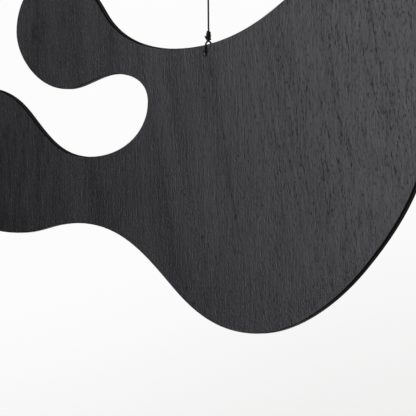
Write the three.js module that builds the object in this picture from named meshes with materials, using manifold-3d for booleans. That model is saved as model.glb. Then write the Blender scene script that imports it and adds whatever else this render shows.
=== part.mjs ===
// Hanging mobile: a flat free-form panel of dark plywood on one twisted thread.
// Millimetres, +Z up, X along the panel, the front face towards -Y.
// The origin is where the thread's top loop bears on whatever holds the mobile up.

import * as THREE from 'three';
import { mergeVertices } from 'three/addons/utils/BufferGeometryUtils.js';
import Module from 'manifold-3d';

// Panel
const PANEL_WIDTH = 401;
const PANEL_HEIGHT = 228;
const PANEL_THICKNESS = 5;
const ARRIS = 0.4;
const HOLE_DIAMETER = 3;
const HOLE_TO_EDGE = 5.2;

// Thread
const THREAD_DIAMETER = 1;
const THREAD_DROP = 100;
const THREAD_CLEARANCE = 0.3;
const KNOT_DIAMETER = 2.9;
const KNOT_LENGTH = 5.8;
const KNOT_ABOVE_EDGE = 2.7;
const TAIL_LENGTH = 2.4;
const TOP_LOOP_WIDTH = 9;
const TOP_LOOP_HEIGHT = 15;

// Fineness of the curves
const STEPS_PER_CURVE = 18;
const THREAD_SIDES = 8;
const KNOT_SIDES = 12;

// The panel's edge, anticlockwise from its lowest point, in squares of a pattern that is stretched to the panel's
// width and height. The pattern's X is zero on the plumb line and its Z is zero at the bottom of the upper bay.
// The edge passes each station in the direction heading, in degrees from +X, and before and after say how far it
// keeps to that direction on either side.
const PATTERN = [
  { name: 'keel', x: 3.81, z: -17.1, heading: 0, before: 3.01, after: 2.89 },
  { name: 'right slope', x: 11.78, z: -13.23, heading: 44.5, before: 2.93, after: 5.32 },
  { name: 'right flank', x: 16.8, z: -2.3, heading: 90, before: 4.32, after: 3.6 },
  { name: 'wing top', x: 12.9, z: 5.7, heading: 180, before: 2.4, after: 3.2 },
  { name: 'wing root', x: 4.59, z: 1.86, heading: 210, before: 2.72, after: 2.34 },
  { name: 'upper bay', x: -2.2, z: 0, heading: 180, before: 2.54, after: 2.83 },
  { name: 'nape', x: -7.96, z: 2.28, heading: 126, before: 1.87, after: 1.35 },
  { name: 'head top', x: -11.6, z: 5, heading: 180, before: 1.6, after: 1.6 },
  { name: 'brow', x: -14.95, z: 1.3, heading: 270, before: 2.1, after: 1.62 },
  { name: 'chin', x: -10.87, z: -2.32, heading: 0, before: 2.29, after: 1.3 },
  { name: 'left bay roof', x: -7, z: -1.46, heading: 0, before: 1.37, after: 1.54 },
  { name: 'left bay end', x: -4.47, z: -3.19, heading: 270, before: 1.12, after: 1.67 },
  { name: 'left bay floor', x: -9.06, z: -6.48, heading: 180, before: 2.87, after: 2.29 },
  { name: 'shoulder', x: -13.79, z: -3.98, heading: 134, before: 2.05, after: 1.94 },
  { name: 'paw top', x: -18.4, z: -2.1, heading: 180, before: 2.12, after: 2.2 },
  { name: 'paw end', x: -23.3, z: -6.35, heading: 270, before: 2.3, after: 2.6 },
  { name: 'paw bottom', x: -14.9, z: -11.15, heading: 0, before: 3.6, after: 2.05 },
  { name: 'belly', x: -10.01, z: -10.54, heading: 0, before: 2.38, after: 3.32 },
  { name: 'keel slope', x: -2.61, z: -14.32, heading: 317.5, before: 2.93, after: 2.07 },
];

function patternSpan(axis) {
  const places = PATTERN.map((station) => station[axis]);
  return Math.max(...places) - Math.min(...places);
}

const squareWidth = PANEL_WIDTH / patternSpan('x');
const squareHeight = PANEL_HEIGHT / patternSpan('z');

// The point on the edge's tangent at a station, so many squares along it.
function alongEdge(station, squares) {
  const angle = THREE.MathUtils.degToRad(station.heading);
  const x = station.x + squares * Math.cos(angle);
  const z = station.z + squares * Math.sin(angle);
  return new THREE.Vector2(x * squareWidth, z * squareHeight);
}

function edgeCurves() {
  return PATTERN.map((start, index) => {
    const end = PATTERN[(index + 1) % PATTERN.length];
    return new THREE.CubicBezierCurve(
      alongEdge(start, 0),
      alongEdge(start, start.after),
      alongEdge(end, -end.before),
      alongEdge(end, 0),
    );
  });
}

// Height of the upper bay's edge on the plumb line, found by halving the curve that crosses it.
function edgeHeightOnPlumbLine(curves) {
  const crossing = curves[PATTERN.findIndex((station) => station.name === 'wing root')];
  let right = 0;
  let left = 1;
  for (let halving = 0; halving < 30; halving += 1) {
    const middle = (right + left) / 2;
    if (crossing.getPoint(middle).x > 0) right = middle;
    else left = middle;
  }
  return crossing.getPoint(left).y;
}

const curves = edgeCurves();
const holeHeight = edgeHeightOnPlumbLine(curves) - HOLE_TO_EDGE;

function panelGeometry() {
  const outline = new THREE.Shape();
  outline.curves.push(...curves);
  const hole = new THREE.Path();
  hole.absarc(0, holeHeight, HOLE_DIAMETER / 2, 0, 2 * Math.PI, true);
  outline.holes.push(hole);
  const board = new THREE.ExtrudeGeometry(outline, {
    depth: PANEL_THICKNESS - 2 * ARRIS,
    curveSegments: STEPS_PER_CURVE,
    bevelThickness: ARRIS,
    bevelSize: ARRIS,
    bevelOffset: -ARRIS,
    bevelSegments: 1,
  });
  return board.translate(0, -holeHeight, ARRIS - PANEL_THICKNESS / 2);
}

const wasm = await Module();
wasm.setup();

function toSolid(geometry) {
  const bare = geometry.clone();
  bare.deleteAttribute('normal');
  bare.deleteAttribute('uv');
  const merged = mergeVertices(bare, 1e-5);
  return new wasm.Manifold(new wasm.Mesh({
    numProp: 3,
    vertProperties: new Float32Array(merged.attributes.position.array),
    triVerts: new Uint32Array(merged.index.array),
  }));
}

function toGeometry(solid) {
  const mesh = solid.getMesh();
  const geometry = new THREE.BufferGeometry();
  geometry.setAttribute('position', new THREE.BufferAttribute(mesh.vertProperties, 3));
  geometry.setIndex(new THREE.BufferAttribute(mesh.triVerts, 1));
  geometry.computeVertexNormals();
  return geometry;
}

const threadRadius = THREAD_DIAMETER / 2;

function threadSection() {
  const section = new THREE.Shape();
  for (let side = 0; side < THREAD_SIDES; side += 1) {
    const angle = (2 * Math.PI * side) / THREAD_SIDES;
    const x = threadRadius * Math.cos(angle);
    const y = threadRadius * Math.sin(angle);
    if (side === 0) section.moveTo(x, y);
    else section.lineTo(x, y);
  }
  return section;
}

function threadAlong(points, steps) {
  const route = points.length > 2 ? new THREE.CatmullRomCurve3(points) : new THREE.LineCurve3(...points);
  return toSolid(new THREE.ExtrudeGeometry(threadSection(), { steps, extrudePath: route, bevelEnabled: false }));
}

// A knot is a barrel with rounded ends, standing on the given height.
function knotFrom(height) {
  const radius = KNOT_DIAMETER / 2;
  const profile = [
    new THREE.Vector2(0, 0),
    new THREE.Vector2(0.6 * radius, 0.03 * KNOT_LENGTH),
    new THREE.Vector2(radius, 0.24 * KNOT_LENGTH),
    new THREE.Vector2(radius, 0.76 * KNOT_LENGTH),
    new THREE.Vector2(0.6 * radius, 0.97 * KNOT_LENGTH),
    new THREE.Vector2(0, KNOT_LENGTH),
  ];
  const barrel = new THREE.LatheGeometry(profile, KNOT_SIDES);
  return toSolid(barrel.rotateX(Math.PI / 2).translate(0, 0, height));
}

// Heights below are measured from the middle of the panel's hole.
const legOffset = PANEL_THICKNESS / 2 + THREAD_CLEARANCE + threadRadius;
const throughHole = HOLE_DIAMETER / 2 - THREAD_CLEARANCE - threadRadius;
const lowerKnot = HOLE_TO_EDGE + KNOT_ABOVE_EDGE;
const topLoopFoot = THREAD_DROP - TOP_LOOP_HEIGHT;
const upperKnot = topLoopFoot - KNOT_LENGTH;

// The thread's loop from the knot down the front, through the hole and up the back.
function holeLoop() {
  const leg = (side) => [
    new THREE.Vector3(0, side * 0.1 * legOffset, lowerKnot + 0.1 * KNOT_LENGTH),
    new THREE.Vector3(0, side * 0.8 * legOffset, HOLE_TO_EDGE + 0.4 * KNOT_ABOVE_EDGE),
    new THREE.Vector3(0, side * legOffset, HOLE_TO_EDGE - threadRadius),
    new THREE.Vector3(0, side * legOffset, HOLE_DIAMETER / 2 + threadRadius),
    new THREE.Vector3(0, side * (legOffset - 0.3 * threadRadius), throughHole + 0.4 * threadRadius),
    new THREE.Vector3(0, side * PANEL_THICKNESS / 2, throughHole),
  ];
  return threadAlong([...leg(-1), ...leg(1).reverse()], 26);
}

// The loop at the top, wide enough for a small hook.
function topLoop() {
  const half = (side) => [
    new THREE.Vector3(0, 0, topLoopFoot - 0.1 * KNOT_LENGTH),
    new THREE.Vector3(side * 0.26 * TOP_LOOP_WIDTH, 0, THREAD_DROP - 0.78 * TOP_LOOP_HEIGHT),
    new THREE.Vector3(side * 0.5 * TOP_LOOP_WIDTH, 0, THREAD_DROP - 0.42 * TOP_LOOP_HEIGHT),
    new THREE.Vector3(side * 0.38 * TOP_LOOP_WIDTH, 0, THREAD_DROP - 0.09 * TOP_LOOP_HEIGHT),
  ];
  const crown = new THREE.Vector3(0, 0, THREAD_DROP + threadRadius);
  return threadAlong([...half(-1), crown, ...half(1).reverse()], 26);
}

function cutTail(height, side) {
  const out = new THREE.Vector3(-0.78 * side, -0.62 * side, 0.9).normalize();
  const start = new THREE.Vector3(0, 0, height);
  const end = start.clone().addScaledVector(out, KNOT_DIAMETER / 2 + TAIL_LENGTH);
  return threadAlong([start, end], 2);
}

function threadGeometry() {
  const standingPart = threadAlong([
    new THREE.Vector3(0, 0, lowerKnot + 0.9 * KNOT_LENGTH),
    new THREE.Vector3(0, 0, upperKnot + 0.1 * KNOT_LENGTH),
  ], 12);
  const whole = holeLoop()
    .add(knotFrom(lowerKnot))
    .add(cutTail(lowerKnot + 0.1 * KNOT_LENGTH, 1))
    .add(standingPart)
    .add(knotFrom(upperKnot))
    .add(cutTail(upperKnot + 0.1 * KNOT_LENGTH, -1))
    .add(topLoop());
  return toGeometry(whole);
}

const stainedAsh = new THREE.MeshStandardMaterial({ color: 0x3b3b3e, roughness: 0.62, metalness: 0 });
const darkThread = new THREE.MeshStandardMaterial({ color: 0x1d1b19, roughness: 0.9, metalness: 0 });

const panel = new THREE.Mesh(panelGeometry(), stainedAsh);
panel.name = 'plywood_panel';
panel.rotation.x = Math.PI / 2;

const thread = new THREE.Mesh(threadGeometry(), darkThread);
thread.name = 'hanging_thread';

const hanging = new THREE.Group();
hanging.position.z = -THREAD_DROP;
hanging.add(panel, thread);

const group = new THREE.Group();
group.add(hanging);

export default group;
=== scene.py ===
"""A flat free-form panel of dark-stained plywood hanging on one twisted thread."""

import math

import bmesh
import bpy
from bpy.props import FloatProperty, FloatVectorProperty, IntProperty, PointerProperty
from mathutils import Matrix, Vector
from mathutils.geometry import interpolate_bezier


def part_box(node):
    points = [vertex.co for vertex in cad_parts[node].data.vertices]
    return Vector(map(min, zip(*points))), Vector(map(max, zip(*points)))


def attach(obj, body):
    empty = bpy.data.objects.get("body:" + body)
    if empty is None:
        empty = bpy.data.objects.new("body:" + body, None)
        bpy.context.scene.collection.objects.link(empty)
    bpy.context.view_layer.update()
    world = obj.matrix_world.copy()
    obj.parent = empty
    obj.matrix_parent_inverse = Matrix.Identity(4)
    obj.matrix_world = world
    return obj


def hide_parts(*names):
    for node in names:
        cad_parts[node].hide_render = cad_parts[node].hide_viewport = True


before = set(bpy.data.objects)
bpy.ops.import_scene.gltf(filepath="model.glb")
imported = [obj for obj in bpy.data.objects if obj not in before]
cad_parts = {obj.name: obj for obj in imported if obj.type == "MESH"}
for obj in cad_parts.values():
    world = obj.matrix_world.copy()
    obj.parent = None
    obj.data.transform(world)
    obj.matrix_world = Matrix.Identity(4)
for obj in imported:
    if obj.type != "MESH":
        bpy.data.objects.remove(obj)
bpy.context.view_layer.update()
panel_low, panel_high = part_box("plywood_panel")

bl_info = {
    "name": "Hanging plywood mobile",
    "version": (1, 0, 0),
    "blender": (4, 5, 0),
    "location": "3D View > Sidebar > Mobile",
    "description": "Dresses a hanging plywood panel, its thread and its studio",
    "category": "Add Mesh",
}

MM = 0.001
MM_PER_METRE = 1000
HOLE_CENTRE = Vector((0, 0, -0.1))

# How far from the hole's middle its wall and its arris reach
HOLE_WALL_REACH = 0.00185
HOLE_ARRIS_REACH = 0.0022

# Places of the sawn edge and the bored hole in the panel's list of finishes, after its face
EDGE_FINISH = 1
HOLE_FINISH = 2

# Steps in one turn of a strand, sides of each strand, and steps between two points of the thread's route
STEPS_PER_LAY = 12
SIDES_PER_STRAND = 6
STEPS_PER_STRETCH = 24

# Steps, turn in degrees and rise in millimetres of the thread's way up through a knot
KNOT_STEPS = 43
KNOT_TURN = 1830
KNOT_RISE = 5.15


# Shader sums


class Value:
    """One output of a node, which adds its Math nodes when it is used in a sum."""

    def __init__(self, finish, socket):
        self.finish = finish
        self.socket = socket

    def sum(self, operation, first, second):
        return self.finish.node("ShaderNodeMath", {"operation": operation}, {0: first, 1: second})

    def __add__(self, other):
        return self.sum("ADD", self, other)

    __radd__ = __add__

    def __sub__(self, other):
        return self.sum("SUBTRACT", self, other)

    def __rsub__(self, other):
        return self.sum("SUBTRACT", other, self)

    def __mul__(self, other):
        return self.sum("MULTIPLY", self, other)

    __rmul__ = __mul__

    def __truediv__(self, other):
        return self.sum("DIVIDE", self, other)

    def __rtruediv__(self, other):
        return self.sum("DIVIDE", other, self)

    def __abs__(self):
        return self.sum("ABSOLUTE", self, 0)

    def largest(self, other):
        return self.sum("MAXIMUM", self, other)


class Finish:
    """A material or a world whose nodes are written as sums."""

    def __init__(self, owner):
        owner.use_nodes = True
        self.tree = owner.node_tree
        self.tree.nodes.clear()

    def node(self, kind, settings, sockets, output=0):
        made = self.tree.nodes.new(kind)
        for name, setting in settings.items():
            if name == "stops":
                self.set_stops(made.color_ramp, setting)
            else:
                setattr(made, name, setting)
        for name, given in sockets.items():
            if isinstance(given, Value):
                self.tree.links.new(given.socket, made.inputs[name])
            else:
                made.inputs[name].default_value = given
        return Value(self, made.outputs[output]) if made.outputs else None

    def set_stops(self, ramp, stops):
        while len(ramp.elements) < len(stops):
            ramp.elements.new(1)
        for element, (position, shade) in zip(ramp.elements, stops):
            element.position = position
            element.color = (shade, shade, shade, 1)

    def xyz(self, vector):
        parts = self.node("ShaderNodeSeparateXYZ", {}, {"Vector": vector})
        outputs = parts.socket.node.outputs
        return [Value(self, outputs[axis]) for axis in "XYZ"]

    def joined(self, x, y, z):
        return self.node("ShaderNodeCombineXYZ", {}, {"X": x, "Y": y, "Z": z})

    def noise(self, x, y, z, detail=2.0, roughness=0.5):
        return self.node(
            "ShaderNodeTexNoise",
            {"noise_dimensions": "3D", "normalize": True},
            {
                "Vector": self.joined(x, y, z),
                "Scale": 1.0,
                "Detail": detail,
                "Roughness": roughness,
            },
        )

    def between(self, value, low, high, out_low=0.0, out_high=1.0):
        return self.node(
            "ShaderNodeMapRange",
            {"interpolation_type": "SMOOTHSTEP", "clamp": True},
            {"Value": value, 1: low, 2: high, 3: out_low, 4: out_high},
        )

    def mixed(self, factor, first, second):
        mix = self.tree.nodes.new("ShaderNodeMix")
        mix.data_type = "RGBA"
        for place, given in ((0, factor), (6, first), (7, second)):
            if isinstance(given, Value):
                self.tree.links.new(given.socket, mix.inputs[place])
            elif place == 0:
                mix.inputs[place].default_value = given
            else:
                mix.inputs[place].default_value = (*given, 1)
        return Value(self, mix.outputs[2])

    def principled(self, **sockets):
        named = {name.replace("_", " "): given for name, given in sockets.items()}
        return self.node("ShaderNodeBsdfPrincipled", {}, named)

    def relief(self, height, distance, strength=1.0):
        sockets = {"Strength": strength, "Distance": distance, "Height": height}
        return self.node("ShaderNodeBump", {}, sockets)

    def surface(self, shader):
        self.node("ShaderNodeOutputMaterial", {}, {"Surface": shader})


def object_millimetres(finish):
    """Place on the object in millimetres, from the middle of the hole."""
    place = finish.node("ShaderNodeTexCoord", {}, {}, "Object")
    return finish.xyz(
        finish.node(
            "ShaderNodeMapping",
            {"vector_type": "POINT"},
            {
                "Vector": place,
                "Location": -MM_PER_METRE * HOLE_CENTRE,
                "Scale": (MM_PER_METRE, MM_PER_METRE, MM_PER_METRE),
            },
        )
    )


# Place across the grain, in millimetres, and darkness
RING_LINES = [(-50.6, 0.75), (1.4, 1.0), (35.5, 0.6), (48.5, 0.5), (54.0, 0.6)]

# Width of the strip of veneer that the ring lines are set out on, in millimetres
RING_STRIP = 300


def ring_lines(finish, slant):
    """Dark lines where single growth rings end, each at its own place across the grain."""
    stops = [(0.0, 0.0)]
    for line, darkness in RING_LINES:
        middle = (line + RING_STRIP / 2) / RING_STRIP
        stops += [(middle - 0.006, 0.0), (middle, darkness), (middle + 0.004, 0.0)]
    place = (slant + RING_STRIP / 2) / RING_STRIP
    return finish.node("ShaderNodeValToRGB", {"stops": stops}, {0: place})


def wood_grain(finish, x, y, z):
    """Rings, streaks and pores of a veneer whose grain runs up the panel."""
    # Each pattern is set out at the size, in millimetres, that its place is divided by
    drift = finish.noise(x / 60, y, z / 75, detail=1) - 0.5
    lean = finish.between(x, -115, -45, 0.02, 0.24)
    slant = x + lean * z + 9 * drift
    line = ring_lines(finish, slant) * finish.between(abs(z + 52), 68, 44, 0.35, 1.0)
    fibre = x + 0.02 * z + 2.5 * drift
    bands = finish.noise(slant / 2.6, y + 7, z / 30, detail=2, roughness=0.6)
    broad = finish.noise(slant / 15, y, z / 120, detail=1)
    streak = finish.noise(fibre / 0.95, y, z / 15, detail=1, roughness=0.6)
    fine = finish.noise(fibre / 0.62, y, z / 1.9, detail=1)
    flecks = finish.noise(fibre / 0.76, y + 20, z / 3.0, detail=2, roughness=0.6)
    pore_noise = finish.noise(fibre / 0.62, y + 40, z / 2.6, detail=1, roughness=0.4)
    right_share = finish.between(x, -60, 110) * finish.between(z, -120, -60, 0.55, 1.0)
    ring = finish.between(bands, 0.5, 0.33) * (0.1 + 0.9 * right_share)
    patch = finish.noise(x / 3.2, y + 60, z / 17, detail=1)
    pore_edge = 0.68 - 0.05 * right_share - 0.09 * ring.largest(0.6 * line)
    pore = finish.between(pore_noise - pore_edge, -0.06, 0.09)
    return line, ring, broad, patch, streak, fine, flecks, pore


# Finishes


def stained_face(look):
    """Satin finish over stained veneer, sunk away in the open pores and along the rings."""
    material = bpy.data.materials.new("stained ash face")
    finish = Finish(material)
    x, y, z = object_millimetres(finish)
    line, ring, broad, patch, streak, fine, flecks, pore = wood_grain(finish, x, y, z)
    tone = 0.2 + 0.5 * streak + 0.35 * broad + 0.25 * fine - 0.5 * ring
    darkest = tuple(0.45 * channel for channel in look.stain)
    lightest = tuple(1.5 * channel for channel in look.stain)
    colour = finish.mixed(tone, darkest, lightest)
    rough = look.gloss_roughness + 0.12 * (streak - 0.5) + 0.1 * (broad - 0.5)
    height = 2.1 * streak + 3.0 * fine + 0.8 * broad - 0.5 * pore
    relief = finish.relief(height, look.grain_depth)
    satin = finish.principled(Base_Color=colour, Roughness=rough, Normal=relief)
    dull = finish.principled(
        Base_Color=(*(0.4 * channel for channel in look.stain), 1),
        Roughness=0.85,
        Specular_IOR_Level=0.12,
        Normal=relief,
    )
    sunk = 0.15 + 0.45 * pore + 0.08 * ring + 0.34 * line * (1.2 - flecks)
    uneven = finish.between(x, -140, -100, 0.9, 0.32)
    sunk = sunk + 0.35 * (0.5 - broad) + uneven * (1 - patch - flecks)
    finish.surface(finish.node("ShaderNodeMixShader", {}, {0: sunk, 1: satin, 2: dull}))
    return material


def stained_edge():
    """Sawn and sanded plies under the same stain."""
    material = bpy.data.materials.new("stained ply edge")
    finish = Finish(material)
    x, y, z = object_millimetres(finish)
    wander = 0.12 * finish.noise(x / 9, 0.0, z / 9, detail=1)
    depth = y + wander
    core = finish.between(abs(depth - 0.15), 0.6, 0.4)
    rear = finish.between(depth, 0.9, 1.1)
    fibres = finish.noise(x / 2.4, y / 0.12, z / 2.4, detail=2, roughness=0.6)
    ends = finish.noise(x / 0.4, y / 0.3, z / 0.4, detail=1)
    glue = finish.between(abs(abs(depth) - 0.8), 0.12, 0.05)
    tone = 0.25 + 0.6 * fibres + 0.3 * ends
    dark = finish.mixed(tone, (0.0015, 0.0015, 0.0016), (0.0065, 0.0063, 0.006))
    colour = finish.mixed((0.4 + 0.5 * ends) * core, dark, (0.075, 0.075, 0.067))
    colour = finish.mixed(0.3 * rear, colour, (0.02, 0.02, 0.016))
    colour = finish.mixed(0.8 * glue, colour, (0.003, 0.003, 0.003))
    height = 0.5 * fibres + 0.4 * ends - 0.8 * glue
    sawn = finish.principled(
        Base_Color=colour,
        Roughness=0.62 + 0.2 * ends,
        Specular_IOR_Level=0.25,
        Normal=finish.relief(height, 0.00006),
    )
    finish.surface(sawn)
    return material


def bored_wood():
    """The hole's wall, where the drill left bare wood, painted near-black from its middle to its back as
    painted shade deep in the hole.
    """
    material = bpy.data.materials.new("bored wood")
    finish = Finish(material)
    x, y, z = object_millimetres(finish)
    fibres = finish.noise(x / 0.5, y / 0.15, z / 0.5, detail=2)
    # Painted shade: from just in front of the hole's middle to its back mouth the bare wood is mixed
    # towards near-black
    depth_shade = finish.between(y, -1.3, -0.2)
    bare = finish.mixed(fibres, (0.24, 0.217, 0.165), (0.42, 0.38, 0.3))
    colour = finish.mixed(0.85 * depth_shade, bare, (0.012, 0.01, 0.008))
    relief = finish.relief(fibres, 0.00008)
    finish.surface(finish.principled(Base_Color=colour, Roughness=0.8, Normal=relief))
    return material


def spun_thread(look):
    """Dark spun fibres, whose pattern follows the thread."""
    material = bpy.data.materials.new("dark twisted thread")
    finish = Finish(material)
    lie = finish.node("ShaderNodeAttribute", {"attribute_name": "thread_lie"}, {}, "Vector")
    x, y, z = finish.xyz(lie)
    fibres = finish.noise(x / 0.07, y / 0.07, z / 0.8, detail=2, roughness=0.7)
    worn = finish.noise(x / 0.9, y / 0.9, z / 7, detail=1)
    colour = finish.mixed(0.8 * fibres + 0.5 * worn - 0.25, look.shade, look.fibre)
    relief = finish.relief(fibres, 0.00005, 0.8)
    finish.surface(finish.principled(Base_Color=colour, Roughness=0.75 + 0.2 * fibres, Normal=relief))
    return material


# Settings


class MobileThreadSettings(bpy.types.PropertyGroup):
    diameter: FloatProperty(
        name="Thread diameter",
        description="Width over the three twisted strands",
        default=0.001,
        min=0.0003,
        precision=5,
        unit="LENGTH",
    )
    lay: FloatProperty(
        name="Length of lay",
        description="Length of thread in which each strand goes round once",
        default=0.0027,
        min=0.001,
        precision=5,
        unit="LENGTH",
    )
    strands: IntProperty(
        name="Strands",
        description="How many strands are twisted together",
        default=3,
        min=2,
        max=5,
    )
    shade: FloatVectorProperty(
        name="Thread shade",
        description="Colour down between the fibres",
        default=(0.003, 0.0028, 0.0027),
        subtype="COLOR",
    )
    fibre: FloatVectorProperty(
        name="Fibre colour",
        description="Colour of the fibres that catch the light",
        default=(0.011, 0.0104, 0.0102),
        subtype="COLOR",
    )


class MobilePanelSettings(bpy.types.PropertyGroup):
    arris_round: FloatProperty(
        name="Arris rounding",
        description="How much of each chamfer edge the sandpaper took off",
        default=0.00014,
        min=0.0,
        precision=5,
        unit="LENGTH",
    )
    stain: FloatVectorProperty(
        name="Stain",
        description="Colour of the stained veneer",
        default=(0.0062, 0.0062, 0.0066),
        subtype="COLOR",
    )
    gloss_roughness: FloatProperty(
        name="Finish roughness",
        description="Roughness of the satin finish on the veneer",
        default=0.375,
        min=0.0,
        max=1.0,
    )
    grain_depth: FloatProperty(
        name="Grain depth",
        description="Depth of the open pores in the veneer",
        default=0.000035,
        min=0.0,
        precision=6,
        unit="LENGTH",
    )


class MobileStageSettings(bpy.types.PropertyGroup):
    camera_place: FloatVectorProperty(
        name="Camera place",
        description="Where the camera stands",
        default=(1.86893, -2.34923, -0.19272),
        subtype="TRANSLATION",
        unit="LENGTH",
    )
    camera_turn: FloatProperty(
        name="Camera turn",
        description="How far the camera is turned to the left of straight ahead",
        default=math.radians(38.5),
        subtype="ANGLE",
    )
    lens: FloatProperty(
        name="Lens",
        description="Focal length of the camera",
        default=432.7,
        min=1,
        subtype="DISTANCE_CAMERA",
    )
    key_power: FloatProperty(
        name="Front light",
        description="Power of the soft light in front of the panel",
        default=3.84,
        min=0,
        subtype="POWER",
    )
    high_power: FloatProperty(
        name="High light",
        description="Power of the small light high up on the left",
        default=1.25,
        min=0,
        subtype="POWER",
    )
    top_power: FloatProperty(
        name="Top light",
        description="Power of the soft light above and behind the panel",
        default=0.55,
        min=0,
        subtype="POWER",
    )
    low_power: FloatProperty(
        name="Low light",
        description="Power of the light that comes up from behind on the left",
        default=2.5,
        min=0,
        subtype="POWER",
    )
    fill_power: FloatProperty(
        name="Fill light",
        description="Power of the weak light from the right",
        default=11.0,
        min=0,
        subtype="POWER",
    )
    back_power: FloatProperty(
        name="Back light",
        description="Power of the soft light behind the panel",
        default=12.0,
        min=0,
        subtype="POWER",
    )
    floor_drop: FloatProperty(
        name="Floor",
        description="How far the floor lies below the hanging loop",
        default=1.25,
        min=0.3,
        unit="LENGTH",
    )


# Pieces


def finished_object(name, bm, materials):
    """A piece that stands at the origin, with its place in its mesh."""
    mesh = bpy.data.meshes.new(name)
    bm.to_mesh(mesh)
    bm.free()
    for material in materials:
        mesh.materials.append(material)
    piece = bpy.data.objects.new(name, mesh)
    bpy.context.scene.collection.objects.link(piece)
    return piece


def round_axis(rows, middle):
    """Points given as radius, angle in degrees and height, round a knot's middle."""
    points = []
    for radius, angle, height in rows:
        turn = math.radians(angle)
        x = middle[0] + radius * math.cos(turn)
        y = middle[1] + radius * math.sin(turn)
        points.append((x, y, height))
    return points


def knot_turns(foot, middle, facing=0):
    """The cut end and the turns of a knot, from its foot upwards."""
    rows = [(2.15, 234, 3.1), (1.8, 236, 2.5), (1.4, 243, 1.6)]
    for step in range(KNOT_STEPS + 1):
        share = step / KNOT_STEPS
        lobes = 0.07 * math.sin(5.2 * math.pi * share)
        taper = 0.45 * max(0.0, share - 0.78) / 0.22
        radius = 1.06 + lobes - 0.1 * share - taper
        rows.append((radius, 262 + KNOT_TURN * share, 0.75 + KNOT_RISE * share))
    placed = [(radius, angle + facing, foot + height) for radius, angle, height in rows]
    return round_axis(placed, middle)


def thread_route():
    """The thread from its lower cut end to its upper one, in millimetres from the middle of the hole."""
    lower, upper = (0.36, 0.4), (0.0, 0.0)
    turns = knot_turns(7.42, lower)
    core_front = [
        (0.34, 0.1, 12.9),
        (0.33, 0.06, 11.6),
        (0.32, 0.04, 10.2),
        (0.3, 0.03, 8.9),
    ]
    front_leg = [
        (0.3, 0.0, 8.0),
        (0.34, -0.32, 7.42),
        (0.4, -0.98, 7.08),
        (0.46, -1.66, 6.68),
        (0.54, -2.25, 6.05),
        (0.64, -2.8, 4.9),
        (0.66, -3.1, 3.6),
        (0.45, -3.08, 2.2),
        (0.12, -2.75, 1.3),
        (0.0, -2.1, 0.97),
        (0.0, 0.0, 0.93),
        (0.0, 2.1, 0.97),
    ]
    back_leg = [
        (0.0, 2.75, 1.3),
        (0.1, 3.05, 2.2),
        (0.25, 3.12, 3.4),
        (0.34, 3.12, 4.7),
        (0.38, 2.98, 5.8),
        (0.38, 2.48, 6.6),
        (0.36, 1.75, 7.05),
        (0.34, 1.1, 7.38),
        (0.34, 0.8, 8.0),
    ]
    core_back = [
        (0.34, 0.76, 9.1),
        (0.35, 0.74, 10.6),
        (0.36, 0.74, 12.2),
        (0.35, 0.6, 13.6),
        (0.33, 0.42, 15.0),
    ]
    standing = []
    for part in (1.0, 0.8, 0.6, 0.4, 0.2, 0.0):
        standing.append((0.31 * part, 0.36 * part, 79.0 - 60.5 * part))
    loop = [
        (0.0, 0.0, 82.0),
        (0.0, 0.0, 84.6),
        (-0.6, 0.0, 86.2),
        (-2.3, 0.05, 88.9),
        (-4.1, 0.05, 92.4),
        (-4.4, 0.0, 95.4),
        (-3.3, 0.0, 98.6),
        (0.0, 0.0, 100.41),
        (3.3, 0.0, 98.6),
        (4.4, 0.0, 95.4),
        (4.1, -0.05, 92.4),
        (2.3, -0.05, 88.9),
        (0.9, -0.1, 86.2),
        (0.62, -0.2, 85.2),
    ]
    top_turns = knot_turns(79.2, upper, 180)
    lower_part = turns + core_front + front_leg + back_leg + core_back
    return lower_part + standing + loop + top_turns[::-1]


def smooth_path(points, spacing):
    """Evenly spaced points on a smooth curve through the given ones."""
    points = [Vector(point) * MM + HOLE_CENTRE for point in points]
    fine = []
    for index in range(len(points) - 1):
        start, end = points[index], points[index + 1]
        before = points[index - 1] if index else start
        after = points[index + 2] if index + 2 < len(points) else end
        reach = (end - start).length / 3
        start_handle = start + (end - before).normalized() * reach
        end_handle = end - (after - start).normalized() * reach
        stretch = interpolate_bezier(start, start_handle, end_handle, end, STEPS_PER_STRETCH)
        fine += stretch[:-1]
    fine.append(points[-1])
    travelled = [0.0]
    for here, there in zip(fine, fine[1:]):
        travelled.append(travelled[-1] + (there - here).length)
    steps = round(travelled[-1] / spacing)
    path = []
    span = 0
    for step in range(steps + 1):
        goal = travelled[-1] * step / steps
        while span < len(fine) - 2 and travelled[span + 1] < goal:
            span += 1
        share = (goal - travelled[span]) / (travelled[span + 1] - travelled[span])
        path.append(fine[span].lerp(fine[span + 1], share))
    return path, travelled[-1]


def path_frames(path):
    """A turning frame at each point of the path, carried along without twist."""
    frames = []
    across = Vector((0, 0, 1))
    for index, point in enumerate(path):
        ahead = path[min(index + 1, len(path) - 1)]
        behind = path[max(index - 1, 0)]
        along = (ahead - behind).normalized()
        if index == 0:
            across = along.orthogonal().normalized()
        else:
            across = frames[-1][2].rotation_difference(along) @ across
        across = (across - along * across.dot(along)).normalized()
        frames.append((point, across, along))
    return frames


def strand_section(bm, diameter, strands):
    """A ring with one lobe for each strand."""
    sides = SIDES_PER_STRAND * strands
    ring = bmesh.ops.create_circle(bm, cap_ends=False, radius=diameter / 2, segments=sides)
    strand_place = 0.22 * diameter
    strand_radius = 0.355 * diameter
    lobe = 2 * math.pi / strands
    for vertex in ring["verts"]:
        angle = math.atan2(vertex.co.y, vertex.co.x)
        off = (angle + lobe / 2) % lobe - lobe / 2
        aside = strand_place * math.sin(off)
        reach = strand_place * math.cos(off) + math.sqrt(strand_radius**2 - aside**2)
        vertex.co.xy = vertex.co.xy.normalized() * reach


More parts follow.
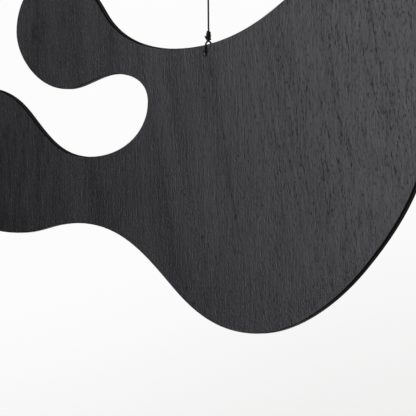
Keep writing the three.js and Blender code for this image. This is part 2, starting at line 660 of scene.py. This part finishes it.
class OBJECT_OT_mobile_thread(bpy.types.Operator):
    """Lay the twisted thread through the hole, its knots and its top loop"""

    bl_idname = "object.mobile_thread"
    bl_label = "Lay Thread"

    def execute(self, context):
        look = context.scene.mobile_thread
        path, length = smooth_path(thread_route(), look.lay / STEPS_PER_LAY)
        steps = len(path) - 1
        bm = bmesh.new()
        lie = bm.verts.layers.float_vector.new("thread_lie")
        strand_section(bm, look.diameter, look.strands)
        bmesh.ops.spin(
            bm,
            geom=bm.verts[:] + bm.edges[:],
            cent=(0, 0, 0),
            axis=(0, 0, 1),
            dvec=(0, 0, length / steps),
            angle=-2 * math.pi * length / look.lay,
            steps=steps,
            use_merge=False,
            use_duplicate=False,
        )
        ends = [edge for edge in bm.edges if edge.is_boundary]
        caps = bmesh.ops.holes_fill(bm, edges=ends, sides=0)["faces"]
        bmesh.ops.poke(bm, faces=caps)
        frames = path_frames(path)
        for vertex in bm.verts:
            vertex[lie] = vertex.co / MM
            step = round(vertex.co.z / length * steps)
            point, across, along = frames[step]
            upright = along.cross(across)
            vertex.co = point + across * vertex.co.x + upright * vertex.co.y
        bmesh.ops.recalc_face_normals(bm, faces=bm.faces)
        for face in bm.faces:
            face.smooth = True
        thread = finished_object("twisted_thread", bm, [spun_thread(look)])
        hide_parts("hanging_thread")
        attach(thread, "root")
        print(f"thread {length:.4f} m, {len(thread.data.polygons)} faces")
        return {"FINISHED"}


class OBJECT_OT_mobile_panel(bpy.types.Operator):
    """Finish the plywood panel with its veneer, its plies and its hole"""

    bl_idname = "object.mobile_panel"
    bl_label = "Finish Panel"

    def execute(self, context):
        look = context.scene.mobile_panel
        bm = bmesh.new()
        # The solid's mesh is loose triangles, so they are merged and the flat ones joined
        bm.from_mesh(bpy.data.objects["plywood_panel"].data)
        bmesh.ops.remove_doubles(bm, verts=bm.verts, dist=1e-6)
        bmesh.ops.dissolve_limit(bm, angle_limit=math.radians(0.2), verts=bm.verts, edges=bm.edges)
        arrises = [edge for edge in bm.edges if edge.calc_face_angle(0) > math.radians(30)]
        bmesh.ops.bevel(
            bm,
            geom=arrises,
            offset=look.arris_round,
            offset_type="OFFSET",
            affect="EDGES",
            segments=2,
            profile=0.5,
            material=-1,
            clamp_overlap=True,
        )
        half = (panel_high.y - panel_low.y) / 2
        for face in bm.faces:
            face.smooth = True
            middle = face.calc_center_median()
            from_hole = (Vector((middle.x, 0, middle.z)) - HOLE_CENTRE).length
            facing = abs(face.normal.y)
            if from_hole < HOLE_WALL_REACH and facing < 0.3:
                face.material_index = HOLE_FINISH
            elif facing < 0.5 or from_hole < HOLE_ARRIS_REACH and facing < 0.9:
                face.material_index = EDGE_FINISH
            if facing > 0.999 and abs(abs(middle.y) - half) < 1e-5:
                face.smooth = False
        finishes = [stained_face(look), stained_edge(), bored_wood()]
        panel = finished_object("stained_panel", bm, finishes)
        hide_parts("plywood_panel")
        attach(panel, "root")
        print(f"panel {len(panel.data.polygons)} faces")
        return {"FINISHED"}


# Stage


def soft_light(name, place, target, width, height, power, colour=(1, 1, 1)):
    """A soft rectangular light that faces its target."""
    light = bpy.data.lights.new(name, "AREA")
    light.shape = "RECTANGLE"
    light.size = width
    light.size_y = height
    light.energy = power
    light.color = colour
    lamp = bpy.data.objects.new(name, light)
    lamp.location = place
    aim = Vector(target) - Vector(place)
    lamp.rotation_euler = aim.to_track_quat("-Z", "Y").to_euler()
    bpy.context.scene.collection.objects.link(lamp)


class OBJECT_OT_mobile_stage(bpy.types.Operator):
    """Set the camera, the soft lights, the pale floor and the white surroundings"""

    bl_idname = "object.mobile_stage"
    bl_label = "Set Stage"

    def execute(self, context):
        look = context.scene.mobile_stage
        lens = bpy.data.cameras.new("view")
        lens.lens = look.lens
        lens.sensor_width = 36
        lens.clip_start = 0.1
        lens.clip_end = 60
        camera = bpy.data.objects.new("view", lens)
        camera.location = look.camera_place
        camera.rotation_euler = (math.pi / 2, 0, look.camera_turn)
        context.scene.collection.objects.link(camera)
        context.scene.camera = camera
        context.scene.view_settings.view_transform = "Standard"
        context.scene.view_settings.look = "None"
        middle = (panel_low + panel_high) / 2
        cool = (0.98, 0.977, 1.05)
        soft_light("front softbox", (-0.274, -0.77, 0.0), middle, 0.25, 0.7, look.key_power, cool)
        soft_light("high card", (-1.05, -0.77, 0.28), middle, 0.3, 0.3, look.high_power)
        soft_light("top softbox", (0.1, 0.75, 0.75), middle, 0.8, 0.6, look.top_power)
        soft_light("low card", (-0.55, 0.6, -0.77), middle, 0.5, 0.4, look.low_power)
        soft_light("fill card", (2.0, -1.1, 0.0), middle, 0.4, 0.5, look.fill_power)
        soft_light("back softbox", (0.5, 2.4, -0.1), middle, 2.2, 1.0, look.back_power)
        self.surroundings(context)
        self.floor(context, look)
        return {"FINISHED"}

    def surroundings(self, context):
        """White all round for the camera, a little greyer towards the lower right, and dim as a light"""
        world = bpy.data.worlds.new("studio")
        context.scene.world = world
        finish = Finish(world)
        across, ahead, rise = finish.xyz(finish.node("ShaderNodeTexCoord", {}, {}, "Generated"))
        rightward = 0.783 * across + 0.623 * ahead
        side = finish.between(rightward, -0.05, 0.05, 0.014, -0.014)
        upward = finish.between(rise + side, -0.065, 0.0)
        white = finish.mixed(upward, (0.862, 0.862, 0.858), (0.972, 0.972, 0.972))
        seen = finish.node("ShaderNodeBackground", {}, {"Color": white, "Strength": 1.0})
        dim = finish.node("ShaderNodeBackground", {}, {"Color": (1, 1, 1, 1), "Strength": 0.05})
        direct = finish.node("ShaderNodeLightPath", {}, {}, "Is Camera Ray")
        mix = finish.node("ShaderNodeMixShader", {}, {0: direct, 1: dim, 2: seen})
        finish.node("ShaderNodeOutputWorld", {}, {"Surface": mix})

    def floor(self, context, look):
        """A pale floor far below, which neither lights the panel nor shows in its gloss"""
        bm = bmesh.new()
        bmesh.ops.create_circle(bm, cap_ends=True, radius=6, segments=96)
        bmesh.ops.translate(bm, vec=(0, 0, -look.floor_drop), verts=bm.verts)
        material = bpy.data.materials.new("pale floor")
        finish = Finish(material)
        pale = (0.8, 0.8, 0.795, 1)
        glow = {"Emission_Color": pale, "Emission_Strength": 1.0}
        finish.surface(finish.principled(Base_Color=pale, Roughness=0.9, **glow))
        floor = finished_object("floor", bm, [material])
        floor.visible_diffuse = False
        floor.visible_glossy = False


class VIEW3D_PT_mobile(bpy.types.Panel):
    """The hanging mobile's pieces and settings"""

    bl_label = "Hanging Mobile"
    bl_idname = "VIEW3D_PT_mobile"
    bl_space_type = "VIEW_3D"
    bl_region_type = "UI"
    bl_category = "Mobile"

    def draw(self, context):
        scene = context.scene
        for operator, settings in (
            (OBJECT_OT_mobile_stage, scene.mobile_stage),
            (OBJECT_OT_mobile_thread, scene.mobile_thread),
            (OBJECT_OT_mobile_panel, scene.mobile_panel),
        ):
            box = self.layout.box()
            for name in settings.__annotations__:
                box.prop(settings, name)
            box.operator(operator.bl_idname)


CLASSES = (
    MobileStageSettings,
    MobileThreadSettings,
    MobilePanelSettings,
    OBJECT_OT_mobile_stage,
    OBJECT_OT_mobile_thread,
    OBJECT_OT_mobile_panel,
    VIEW3D_PT_mobile,
)


def register():
    for each in CLASSES:
        bpy.utils.register_class(each)
    bpy.types.Scene.mobile_stage = PointerProperty(type=MobileStageSettings)
    bpy.types.Scene.mobile_thread = PointerProperty(type=MobileThreadSettings)
    bpy.types.Scene.mobile_panel = PointerProperty(type=MobilePanelSettings)


def unregister():
    del bpy.types.Scene.mobile_panel
    del bpy.types.Scene.mobile_thread
    del bpy.types.Scene.mobile_stage
    for each in reversed(CLASSES):
        bpy.utils.unregister_class(each)


def main():
    register()
    bpy.ops.object.mobile_stage()
    bpy.ops.object.mobile_thread()
    bpy.ops.object.mobile_panel()


if __name__ == "__main__":
    main()
